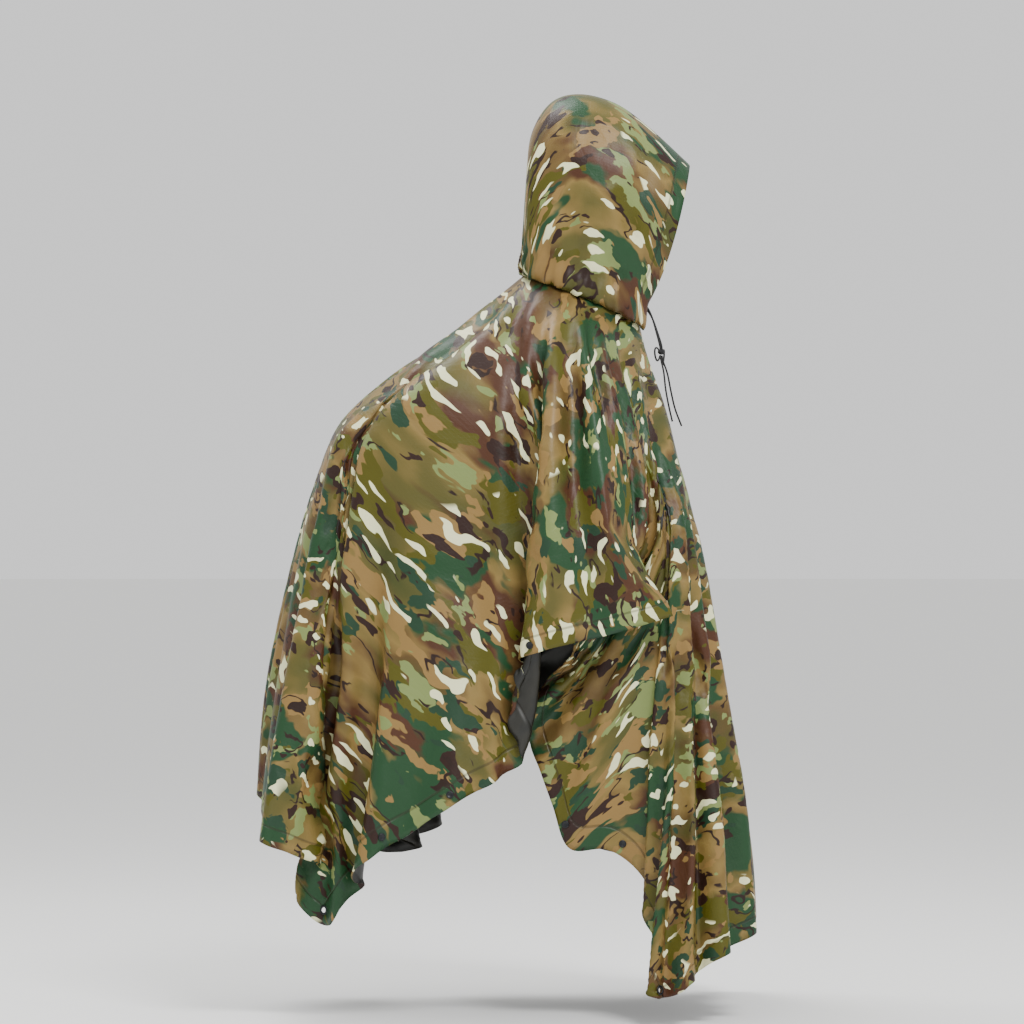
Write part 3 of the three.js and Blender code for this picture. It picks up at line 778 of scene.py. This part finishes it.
# ---- press snaps ----
# Black enamelled brass press studs, riveted through the side hems in pairs that close front to back.
SNAP_PLACES = (0.780, 0.655, 0.310, 0.165)
SNAP_IN = 0.014
SNAP_RADIUS = 0.006
SNAP_HEIGHT = 0.0024

enamel, tree, shader = new_material("black enamelled brass")
# Enamel over pressed brass: smooth, half gloss, with faint rub marks about 2 mm across.
place = add(tree, "ShaderNodeTexCoord")
rub = add(tree, "ShaderNodeTexNoise", {"Vector": place.outputs["Object"], "Scale": 480.0, "Detail": 2.0})
level = add(tree, "ShaderNodeMapRange", {"Value": rub.outputs["Fac"], "To Min": 0.28, "To Max": 0.48})
shader.inputs["Base Color"].default_value = linear("1D1F22")
tree.links.new(level.outputs["Result"], shader.inputs["Roughness"])
shader.inputs["Metallic"].default_value = 0.5

bpy.ops.object.select_all(action="DESELECT")
bpy.ops.mesh.primitive_cylinder_add(vertices=28, radius=SNAP_RADIUS, depth=SNAP_HEIGHT,
                                    location=(0, 0, SNAP_HEIGHT / 2))
snap = bpy.context.active_object
bpy.ops.object.transform_apply(location=True, rotation=True, scale=True)
bpy.ops.object.mode_set(mode="EDIT")
bpy.ops.mesh.select_all(action="DESELECT")
work = bmesh.from_edit_mesh(snap.data)
for face in work.faces:
    face.select = face.normal.z > 0.9
work.select_flush(True)
bmesh.update_edit_mesh(snap.data)
bpy.ops.mesh.inset(thickness=0.0014)
bpy.ops.transform.translate(value=(0, 0, 0.0006))
bpy.ops.mesh.inset(thickness=0.0022)
bpy.ops.transform.translate(value=(0, 0, -0.0011))
bpy.ops.object.mode_set(mode="OBJECT")
edges = snap.modifiers.new("edges", "BEVEL")
edges.width = 0.0004
edges.segments = 2
bpy.ops.object.modifier_apply(modifier="edges")
snap.data.materials.append(enamel)


def copies_at(pattern, name, seats, lift):
    """One object of copies of a small piece, each set on its seat and joined."""
    bpy.ops.object.select_all(action="DESELECT")
    placed = []
    for middle, out in seats:
        one = bpy.data.objects.new(name, pattern.data.copy())
        scene.collection.objects.link(one)
        one.data.transform(Matrix.Translation(middle + out * lift)
                           @ out.to_track_quat("Z", "Y").to_matrix().to_4x4())
        one.select_set(True)
        placed.append(one)
    bpy.context.view_layer.objects.active = placed[0]
    bpy.ops.object.join()
    joined = bpy.context.active_object
    bpy.ops.object.shade_smooth_by_angle(angle=math.radians(35))
    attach(joined, "root")
    return joined


snap_places = [*SNAP_PLACES, *[-place for place in reversed(SNAP_PLACES)]]
for side, sign in (("right", -1), ("left", 1)):
    seats = [seat(place, sign * (CUT_WIDTH / 2 - SNAP_IN))[:2] for place in snap_places]
    group = copies_at(snap, "press_snaps_" + side, seats, 0.0003)
    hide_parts(*[f"snap_{side}_{i + 1}" for i in range(len(snap_places))])
bpy.data.objects.remove(snap)

# ---- eyelets ----
# Black enamelled brass rings, 16 mm outside and 9 mm inside, pressed through each corner.
bpy.ops.object.select_all(action="DESELECT")
bpy.ops.mesh.primitive_torus_add(major_segments=36, minor_segments=12, major_radius=0.00625,
                                 minor_radius=0.00175)
eyelet = bpy.context.active_object
eyelet.scale = (1.0, 1.0, 0.6)
bpy.ops.object.transform_apply(location=True, rotation=True, scale=True)
eyelet.data.materials.append(enamel)
for name, (middle, out, _) in eyelet_seats.items():
    group = copies_at(eyelet, "corner_eyelet_" + name, [(middle, out)], 0.0008)
    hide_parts("eyelet_" + name)
bpy.data.objects.remove(eyelet)


# ---- hood ----
# Two panels of the same ripstop, felled together over the crown and down the back of the head, and
# gathered into the neck seam, where the slack rolls over the seam.
NECK_CLEARANCE = 0.0024   # the hood's seam stands inside the body's neck edge
HOOD_COLUMNS = 96
HOOD_ROWS = 84
# Columns: crown x, crown z, reach of the crown to the side, cheek x, y, z, angle on the neck ring.
HOOD_SECTIONS = np.array([
    (180, 238, 112, 150, 122, 40, 8),
    (116, 297, 130, 118, 130, 72, 35),
    (60, 338, 140, 65, 130, 95, 62),
    (0, 354, 140, 0, 128, 105, 90),
    (-48, 340, 125, -50, 122, 110, 112),
    (-80, 288, 100, -92, 108, 105, 132),
    (-88, 213, 70, -102, 85, 95, 148),
    (-91, 131, 38, -102, 50, 80, 162),
    (-92, 70, 0.2, -96, 0.2, 62, 179.9),
]) / 1000
# Creases on the side of the hood. Columns, in millimetres: start and end seen from the side (x, z),
# width, and depth, which is below zero for a ridge.
HOOD_CREASES = [
    (56, 196, 92, 100, 12, 6), (40, 210, 60, 120, 14, -4), (112, 240, 60, 60, 16, 5),
    (-40, 200, 10, 60, 18, 6), (-76, 150, -40, 30, 12, 5), (-20, 290, 90, 250, 22, 4),
    (90, 90, 110, 20, 10, 4), (20, 120, 70, 30, 14, 5), (-60, 90, 40, 40, 12, 4),
    (0, 240, -50, 140, 20, 4),
]


def hood_point(section, row):
    """Points of the right panel: section runs from the face edge to the centre back, row down to the neck."""
    values = through_values(HOOD_SECTIONS, section)
    crown_x, crown_z, reach, cheek_x, cheek_y, cheek_z, angle = values.T
    angle = np.radians(angle * 1000)
    ring_front, ring_side = NECK_FRONT - NECK_CLEARANCE, NECK_SIDE - NECK_CLEARANCE
    ends = [np.stack(p, axis=1) for p in (
        (crown_x, 0 * crown_x, crown_z), (crown_x, -reach, crown_z), (cheek_x, -cheek_y, cheek_z),
        (ring_front * np.cos(angle), -ring_side * np.sin(angle), NECK_RISE - NECK_SLOPE * np.cos(angle)))]
    t = row[:, None]
    return ((1 - t) ** 3 * ends[0] + 3 * t * (1 - t) ** 2 * ends[1] + 3 * t ** 2 * (1 - t) * ends[2]
            + t ** 3 * ends[3])


def through_values(table, place):
    """Rows of a table at places between them, on a smooth curve."""
    count = len(table)
    rows = np.concatenate([[2 * table[0] - table[1]], table, [2 * table[-1] - table[-2]]])
    first = np.clip(np.floor(place).astype(int), 0, count - 2)
    a, b, c, d = (rows[first + k] for k in range(4))
    t = (place - first)[:, None]
    return 0.5 * (2 * b + (c - a) * t + (2 * a - 5 * b + 4 * c - d) * t ** 2
                  + (3 * b - a - 3 * c + d) * t ** 3)


sections = len(HOOD_SECTIONS) - 1
share_c, share_r = np.meshgrid(np.linspace(0, 1, HOOD_COLUMNS + 1), np.linspace(0, 1, HOOD_ROWS + 1),
                               indexing="ij")
share_c, share_r = share_c.ravel(), share_r.ravel()
hood_at = hood_point(share_c * sections, share_r)
grid_at = hood_at.reshape(HOOD_COLUMNS + 1, HOOD_ROWS + 1, 3)
from_face = np.concatenate([np.zeros((1, HOOD_ROWS + 1)),
                            np.cumsum(np.linalg.norm(np.diff(grid_at, axis=0), axis=2), axis=0)])
down = np.concatenate([np.zeros((HOOD_COLUMNS + 1, 1)),
                       np.cumsum(np.linalg.norm(np.diff(grid_at, axis=1), axis=2), axis=1)], axis=1)
slope_c = np.gradient(grid_at, axis=0)
slope_r = np.gradient(grid_at, axis=1)
out = np.cross(slope_r, slope_c)
out /= np.maximum(np.linalg.norm(out, axis=2, keepdims=True), 1e-9)
if out[HOOD_COLUMNS // 2, HOOD_ROWS // 2, 1] > 0:
    out = -out

# Gathers above the neck seam, and the roll of slack that hangs over it, deepest at the throat.
to_neck = down[:, -1:] - down
around = from_face / from_face[:, -1:].mean()
gather = np.exp(-(to_neck / 0.055) ** 2) * np.clip(to_neck / 0.012, 0, 1)
ripples = (np.sin(around * 34 + 1.3 + 5 * to_neck / 0.05) + 0.6 * np.sin(around * 57 + 0.4 - 30 * to_neck)
           + 0.5 * np.sin(around * 21 + 2.2))
front_share = np.clip(1.2 - from_face / 0.30, 0.25, 1)
lift = 0.0026 * gather * ripples + 0.013 * front_share * np.exp(-((to_neck - 0.024) / 0.016) ** 2)
drop = 0.016 * front_share * np.exp(-((to_neck - 0.018) / 0.014) ** 2)
moved = grid_at + out * lift[..., None]
moved[..., 2] -= drop

# Creases, placed as they are seen from the side.
for x0, z0, x1, z1, width, depth in np.array(HOOD_CREASES) / 1000:
    run = np.array((x1 - x0, z1 - z0))
    seen = grid_at[..., [0, 2]]
    share = np.clip(((seen - (x0, z0)) @ run) / (run @ run), 0, 1)
    off = np.linalg.norm(seen - ((x0, z0) + share[..., None] * run), axis=2)
    fade = np.clip(np.minimum(share, 1 - share) * 4, 0.1, 1) * np.clip(-grid_at[..., 1] / 0.03, 0, 1)
    moved -= out * (depth * fade * np.exp(-(off / width) ** 2))[..., None]

# The felled seam draws the cloth in a little along the crown and centre back.
moved[..., 2] -= 0.002 * np.exp(-(down / 0.006) ** 2)
moved[:, 0, 1] = 0
moved[-1, :, 1] = 0

HOOD_MAP_SHIFT = 0.31     # takes the hood's print from another place of the roll
HOOD_MAP_FACE = -0.2      # where the face edge lies across the roll
even_reach = np.broadcast_to(from_face.mean(axis=1, keepdims=True), from_face.shape)
quads = []
for c in range(HOOD_COLUMNS):
    for r in range(HOOD_ROWS):
        a = c * (HOOD_ROWS + 1) + r
        quads.append((a, a + 1, a + HOOD_ROWS + 2, a + HOOD_ROWS + 1))
hood_cloth = {}
for side, sign in (("right", 1), ("left", -1)):
    points = moved.reshape(-1, 3) * (1, sign, 1)
    mesh = bpy.data.meshes.new("hood_" + side)
    mesh.from_pydata([tuple(p) for p in points], [], quads)
    panel = bpy.data.objects.new("hood_panel_" + side, mesh)
    scene.collection.objects.link(panel)
    hood_map = mesh.uv_layers.new(name="cut")
    spread = np.stack([down.ravel() + HOOD_MAP_SHIFT * sign, even_reach.ravel() + HOOD_MAP_FACE],
                      axis=1) / UV_SPAN + 0.5
    for loop in mesh.loops:
        hood_map.data[loop.index].uv = spread[loop.vertex_index]
    face_edge = mesh.attributes.new("edge", "FLOAT", "POINT")
    face_edge.data.foreach_set("value", from_face.ravel())
    mesh.update()
    middle = len(mesh.vertices) // 2
    if (mesh.vertex_normals[middle].vector.y > 0) == (side == "right"):
        mesh.flip_normals()
    hood_cloth[side] = panel

# The face opening's hem is turned in 28 mm and carries the drawcord.
HOOD_HEM = 0.028
bands = []
for side, panel in hood_cloth.items():
    bands.append(hem_from(panel, "hood_hem_" + side, lambda x, y: y - HOOD_MAP_FACE < HOOD_HEM, HEM_INWARDS,
                          HEM_WALL))
bpy.ops.object.select_all(action="DESELECT")
for band in bands:
    band.select_set(True)
bpy.context.view_layer.objects.active = bands[0]
bpy.ops.object.join()
hood_hem = bpy.context.active_object
hood_hem.name = "hood_hem_band"
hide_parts("hood_hem")
for side, panel in hood_cloth.items():
    walled(panel, CLOTH_WALL)
    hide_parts("hood_" + side)
